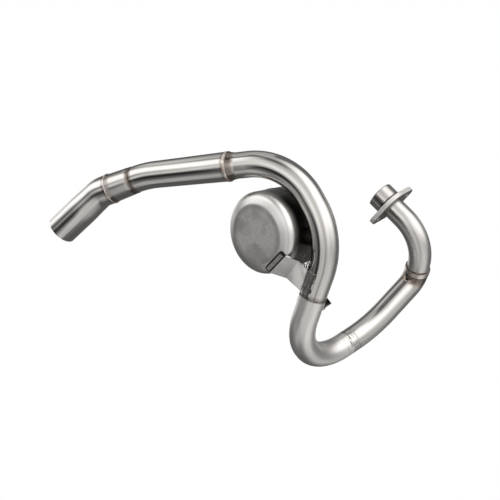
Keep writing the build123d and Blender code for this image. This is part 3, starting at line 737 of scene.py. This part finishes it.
# The rings rise by a hair, so that the sweep keeps its direction on the flat disc
RING_RISE = 0.002 * MM


def cup_profile(depth):
    """A cup's outer radius and distance from its disc's face, from the disc's middle to the open edge."""
    middle, edge = Vector((0, 0)), Vector((CAN_DISC_RADIUS, 0))
    rim, mouth = Vector((CAN_RADIUS, CAN_BEVEL)), Vector((CAN_RADIUS, depth))
    profile = [Vector((share * DISC_FLAT, 0)) for share in DISC_RINGS]
    for before, corner, after, bend in ((middle, edge, rim, DISC_ROUND), (edge, rim, mouth, RIM_ROUND)):
        enter, leave = (corner - before).normalized(), (after - corner).normalized()
        turn = enter.angle(leave)
        centre = corner + (leave - enter).normalized() * bend / math.cos(turn / 2)
        start = corner - enter * bend * math.tan(turn / 2) - centre
        for step in range(ROUND_STEPS + 1):
            profile.append(centre + Matrix.Rotation(turn * step / ROUND_STEPS, 2) @ start)
    return profile + [mouth.lerp(rim, 0.5), mouth]


def cup_piece(node, face, axis, depth):
    """A spun cup of the canister, with its drawn edges rounder than the plain solid's."""
    radii, heights = zip(*cup_profile(depth))
    places = [face + axis * (height + RING_RISE * index) for index, height in enumerate(heights)]
    mesh = grow(
        node + "_spun", places, False, {"tube_radius": ("FLOAT", "value", radii)}, SWEPT_TUBE,
        {"Sides": CUP_SIDES, "Finish": FINISHES[node]}, wall=CUP_WALL)
    mesh.set_sharp_from_angle(angle=RIM_ANGLE)
    return header_piece(node + "_spun", mesh, node)


cup_piece("canister_front_cup", CAN_DISC, CAN_AXIS, FRONT_CUP - CUP_GAP)
cup_piece("canister_rear_cup", CAN_DISC + CAN_AXIS * (FRONT_CUP + REAR_CUP), -CAN_AXIS, REAR_CUP - CUP_GAP)

# Weld ripples
RIPPLE_PITCH = 2.0 * MM
RIPPLE_LENGTH = 1.9 * RIPPLE_PITCH
SMALLEST_RIPPLE = (0.85, 0.8, 0.75)
FULL_RIPPLE = (1.0, 1.0, 1.0)
RIPPLE_LEAN = math.radians(8)


def ripple_tree():
    """Overlapping weld ripples set along a path, each standing on the path's own outward side."""
    tree = bpy.data.node_groups.new("weld_ripples", "GeometryNodeTree")
    face = tree.interface
    face.new_socket("Path", in_out="INPUT", socket_type="NodeSocketGeometry")
    for label in ("Ripple Pitch", "Ripple Length", "Bead Width", "Bead Height"):
        face.new_socket(label, in_out="INPUT", socket_type="NodeSocketFloat")
    face.new_socket("Seed", in_out="INPUT", socket_type="NodeSocketInt")
    face.new_socket("Finish", in_out="INPUT", socket_type="NodeSocketMaterial")
    face.new_socket("Bead", in_out="OUTPUT", socket_type="NodeSocketGeometry")
    given = add(tree, "NodeGroupInput").outputs
    path = add(tree, "GeometryNodeMeshToCurve", {"Mesh": given["Path"]})
    spaced = add(tree, "GeometryNodeResampleCurve", {
        "Curve": path.outputs[0], "Length": given["Ripple Pitch"]}, mode="LENGTH")
    outward = add(tree, "GeometryNodeInputNamedAttribute", {"Name": "outward"}, data_type="FLOAT_VECTOR")
    turn = add(tree, "FunctionNodeAxesToRotation", {
        0: add(tree, "GeometryNodeInputTangent").outputs[0], 1: outward.outputs[0]},
        primary_axis="X", secondary_axis="Z")
    ball = add(tree, "GeometryNodeMeshIcoSphere", {"Radius": 0.5, "Subdivisions": 2})
    size = add(tree, "ShaderNodeCombineXYZ", {
        "X": given["Ripple Length"], "Y": given["Bead Width"], "Z": given["Bead Height"]})
    varied = add(tree, "FunctionNodeRandomValue", {
        0: SMALLEST_RIPPLE, 1: FULL_RIPPLE, "Seed": given["Seed"]}, data_type="FLOAT_VECTOR")
    grown = add(tree, "ShaderNodeVectorMath", {
        0: size.outputs[0], 1: varied.outputs[0]}, operation="MULTIPLY")
    ripples = add(tree, "GeometryNodeInstanceOnPoints", {
        "Points": spaced.outputs[0], "Instance": ball.outputs[0],
        "Rotation": turn.outputs[0], "Scale": grown.outputs[0]})
    leant = add(tree, "GeometryNodeRotateInstances", {
        "Instances": ripples.outputs[0], "Rotation": (0.0, RIPPLE_LEAN, 0.0)})
    whole = add(tree, "GeometryNodeRealizeInstances", {0: leant.outputs[0]})
    smooth = add(tree, "GeometryNodeSetShadeSmooth", {0: whole.outputs[0]})
    coated = add(tree, "GeometryNodeSetMaterial", {0: smooth.outputs[0], "Material": given["Finish"]})
    add(tree, "NodeGroupOutput", {0: coated.outputs[0]})
    return tree


RIPPLES = ripple_tree()


def weld_piece(node, places, outward, closed, width, height, seed):
    """The rippled bead that stands for a weld's plain solid."""
    mesh = grow(
        node + "_ripples", places, closed, {"outward": ("FLOAT_VECTOR", "vector", outward)}, RIPPLES, {
            "Ripple Pitch": RIPPLE_PITCH, "Ripple Length": RIPPLE_LENGTH, "Bead Width": width,
            "Bead Height": height, "Seed": seed, "Finish": FINISHES[node]})
    return header_piece(node + "_ripples", mesh, node)


# Ring welds: the ripples' width as a share of the plain ring's
BEAD_SHARE = {
    "joint_weld": 0.45, "mid_weld": 1.25, "cone_weld": 0.5, "tail_weld": 0.6,
    "canister_seam_weld": 0.9, "collar_weld": 1.0,
}
# Their seat and height, as shares of how far the ring stands out
BEAD_SEAT = 0.2
BEAD_HEIGHT = 1.2
for seed, (name, share) in enumerate(BEAD_SHARE.items()):
    centre, outward, inner, outer, width = ring_path(name)
    crown = outer - inner
    places = centre + outward * (inner + BEAD_SEAT * crown)
    weld_piece(name, places, outward, True, share * width, BEAD_HEIGHT * crown, seed)


def about_joint(place):
    """Height above the loop's joint, and the way out from its axis there."""
    off = Vector(place) - LOOP_JOINT
    height = off.dot(JOINT_RUN)
    return height, (off - JOINT_RUN * height).normalized()


# The strap's weld: up the saddle's edge, then over its top corner towards the strap
STRAP_BEAD_WIDTH = 3.6 * MM
STRAP_BEAD_HEIGHT = 2.6 * MM
BEAD_LIFT = 0.6 * MM
EDGE_MARGIN = 2 * MM
EDGE_STEPS = 20
TOP_MARGIN = 1.5 * MM
TOP_TURNS = np.radians(np.linspace(4, 44, 12))
bar = solid_points("bracket_pipe_weld")
heights = [about_joint(p)[0] for p in bar]
side = about_joint(bar.mean(0))[1]
strap_side = about_joint(solid_points("canister_bracket").mean(0))[1]
sense = math.copysign(1.0, side.cross(strap_side).dot(JOINT_RUN))
edge = np.linspace(min(heights) + EDGE_MARGIN, max(heights) - EDGE_MARGIN, EDGE_STEPS)
bar_path = [(height, 0.0) for height in edge]
bar_path += [(max(heights) - TOP_MARGIN, sense * turn) for turn in TOP_TURNS]
ways, places = [], []
for height, turn in bar_path:
    way = Matrix.Rotation(turn, 3, JOINT_RUN) @ side
    ways.append(way)
    places.append(LOOP_JOINT + JOINT_RUN * height + way * (PIPE_RADIUS + BEAD_LIFT))

# From there four short rows go up the pipe, in the corner between strap, canister and pipe
# Each row has its steps along the loop's line and its distance from the pipe's wall
LUMP_ROWS = [
    (range(13, 19), 0.6 * MM), (range(19, 13, -1), 3.6 * MM),
    (range(13, 18), 6.6 * MM), (range(17, 12, -1), 9.6 * MM),
]
loop_line = centre_line(LOOP_JOINT, ["loop"], after_bend("loop"))
for row, gap in LUMP_ROWS:
    for index in row:
        run = (loop_line[index + 1] - loop_line[index]).normalized()
        way = (strap_side - run * strap_side.dot(run)).normalized()
        ways.append(way)
        places.append(loop_line[index] + way * (PIPE_RADIUS + gap))
weld_piece(
    "bracket_pipe_weld", places, ways, False, STRAP_BEAD_WIDTH, STRAP_BEAD_HEIGHT, len(BEAD_SHARE))

# The lug's weld: an arc along its foot
LUG_BEAD_WIDTH = 3.0 * MM
LUG_BEAD_HEIGHT = 2.2 * MM
LUG_BEAD_SINK = 1.2 * MM
LUG_TURNS = np.radians(np.linspace(-20, 20, 16))
foot = solid_points("lug_weld")
foot_height, foot_side = about_joint(foot.mean(0))
foot_reach = max((Vector(p) - LOOP_JOINT).cross(JOINT_RUN).length for p in foot)
ways = [Matrix.Rotation(turn, 3, JOINT_RUN) @ foot_side for turn in LUG_TURNS]
places = [LOOP_JOINT + JOINT_RUN * foot_height + way * (foot_reach - LUG_BEAD_SINK) for way in ways]
weld_piece("lug_weld", places, ways, False, LUG_BEAD_WIDTH, LUG_BEAD_HEIGHT, len(BEAD_SHARE) + 1)

# Camera
CAMERA_PLACE = Vector((0.15847, -1.20754, -0.01340))
CAMERA_AZIMUTH = math.radians(18)
CAMERA_ELEVATION = math.radians(4)
lens = bpy.data.cameras.new("photo_camera")
lens.lens = 50
lens.sensor_width = 36
camera = bpy.data.objects.new("photo_camera", lens)
camera.location = CAMERA_PLACE
camera.rotation_euler = (math.pi / 2 - CAMERA_ELEVATION, 0.0, CAMERA_AZIMUTH)
scene.collection.objects.link(camera)
scene.camera = camera

# White room, pale floor and the light tent
scene.view_settings.view_transform = "Standard"
room = bpy.data.worlds.new("white_room")
room.use_nodes = True
room.node_tree.nodes["Background"].inputs["Color"].default_value = (1.0, 1.0, 1.0, 1.0)
room.node_tree.nodes["Background"].inputs["Strength"].default_value = 1.0
scene.world = room
MIDDLE = Vector((-0.23, -0.09, -0.11))
FLOOR_RADIUS = 1.6
FLOOR_DROP = 0.90
FLOOR_FORWARD = 0.85
FLOOR_TURN = math.radians(19)
TENT_RADIUS = 3.0


def stage_piece(name, build, finish):
    """A piece of the studio, which is not part of the header."""
    mesh = bpy.data.meshes.new(name)
    shape = bmesh.new()
    build(shape)
    shape.to_mesh(mesh)
    shape.free()
    piece = bpy.data.objects.new(name, mesh)
    scene.collection.objects.link(piece)
    mesh.materials.append(finish)
    return piece


# Matt paper, which gives the eye a plain pale ground
paper, tree, shader = finish_tree("pale_floor_paper")
shader.inputs["Metallic"].default_value = 0.0
shader.inputs["Base Color"].default_value = tone("#E6E4E1")
shader.inputs["Roughness"].default_value = 0.8
floor_middle = MIDDLE + Vector((math.sin(FLOOR_TURN), -math.cos(FLOOR_TURN), 0)) * FLOOR_FORWARD
floor = stage_piece("floor", lambda shape: bmesh.ops.create_circle(
    shape, cap_ends=True, segments=96, radius=FLOOR_RADIUS,
    matrix=Matrix.Translation((floor_middle.x, floor_middle.y, -FLOOR_DROP))), paper)

# Soft panels of the tent: azimuth from and to, elevation from and to, softness of both, lean, level
PANELS = [
    (22, 103, 0, 76, 24, 22, 0.12, 1.75),
    (24, 95, -80, -10, 25, 18, 0.0, 0.76),
    (-95, -28, 16, 49, 14, 10, 0.26, 1.55),
    (-38, 1, -2, 25, 6, 12, -0.22, 0.70),
    (-25, 14, -72, 47, 7, 10, 0.0, 0.60),
    (-188, -62, 55, 98, 12, 18, -0.08, 0.50),
    (-64, 36, 67, 98, 14, 5, -0.1, 0.55),
    (-83, -29, -67, -43, 10, 12, 0.1, 0.46),
    (-165, -98, -6, 22, 16, 13, 0.18, 0.95),
    (125, 166, 13, 27, 9, 7, 0.0, 0.35),
    (-118, -74, 48, 60, 7, 5, 0.2, 0.40),
    (87, 190, -30, 91, 12, 9, 0.0, 0.08),
    (89, 150, -74, -38, 22, 15, 0.0, 0.60),
    (-84, -52, -36, -12, 6, 7, 0.0, 0.30),
    (-50, -26, -24, -9, 5, 5, 0.0, -0.10),
    (-48, -28, -5, 9, 5, 4, 0.0, 0.36),
]
TENT_LEVEL = 0.13

# Tent cloth: glows softly all over, and brighter in the panels
cloth = bpy.data.materials.new("light_tent_cloth")
cloth.use_nodes = True
tree = cloth.node_tree
tree.nodes.clear()
toward = add(tree, "ShaderNodeVectorMath", {
    0: add(tree, "ShaderNodeTexCoord").outputs["Object"], 1: MIDDLE}, operation="SUBTRACT")
toward = add(tree, "ShaderNodeVectorMath", {0: toward.outputs[0]}, operation="NORMALIZE")
split = add(tree, "ShaderNodeSeparateXYZ", {0: toward.outputs[0]})
front = add(tree, "ShaderNodeMath", {0: split.outputs["Y"], 1: -1.0}, operation="MULTIPLY")
turn = add(tree, "ShaderNodeMath", {0: split.outputs["X"], 1: front.outputs[0]}, operation="ARCTAN2")
azimuth = add(tree, "ShaderNodeMath", {0: turn.outputs[0]}, operation="DEGREES")
rise = add(tree, "ShaderNodeMath", {0: split.outputs["Z"]}, operation="ARCSINE")
elevation = add(tree, "ShaderNodeMath", {0: rise.outputs[0]}, operation="DEGREES")


def panel_mask(panel):
    """How much of a soft-edged panel a place on the tent has, times its level."""
    left, right, low, high, soft_side, soft_rise, lean, value = panel
    middle = (left + right) / 2
    sag = add(tree, "ShaderNodeMath", {
        0: azimuth.outputs[0], 1: -lean, 2: lean * middle}, operation="MULTIPLY_ADD")
    height = add(tree, "ShaderNodeMath", {0: elevation.outputs[0], 1: sag.outputs[0]}, operation="ADD")
    for angle, edge, soft, sense in (
        (azimuth, left, soft_side, 1), (azimuth, right, soft_side, -1),
        (height, low, soft_rise, 1), (height, high, soft_rise, -1),
    ):
        step = add(tree, "ShaderNodeMapRange", {
            "Value": angle.outputs[0], "From Min": edge - sense * soft, "From Max": edge + sense * soft},
            interpolation_type="SMOOTHSTEP")
        value = add(tree, "ShaderNodeMath", {0: step.outputs[0], 1: value}, operation="MULTIPLY").outputs[0]
    return value


glow = TENT_LEVEL
for panel in PANELS:
    glow = add(tree, "ShaderNodeMath", {0: panel_mask(panel), 1: glow}, operation="ADD").outputs[0]
shine = add(tree, "ShaderNodeEmission", {"Strength": glow})
add(tree, "ShaderNodeOutputMaterial", {"Surface": shine.outputs[0]})
tent = stage_piece("light_tent", lambda shape: bmesh.ops.create_icosphere(
    shape, subdivisions=4, radius=TENT_RADIUS, matrix=Matrix.Translation(MIDDLE)), cloth)
tent.visible_camera = False
floor.visible_glossy = False
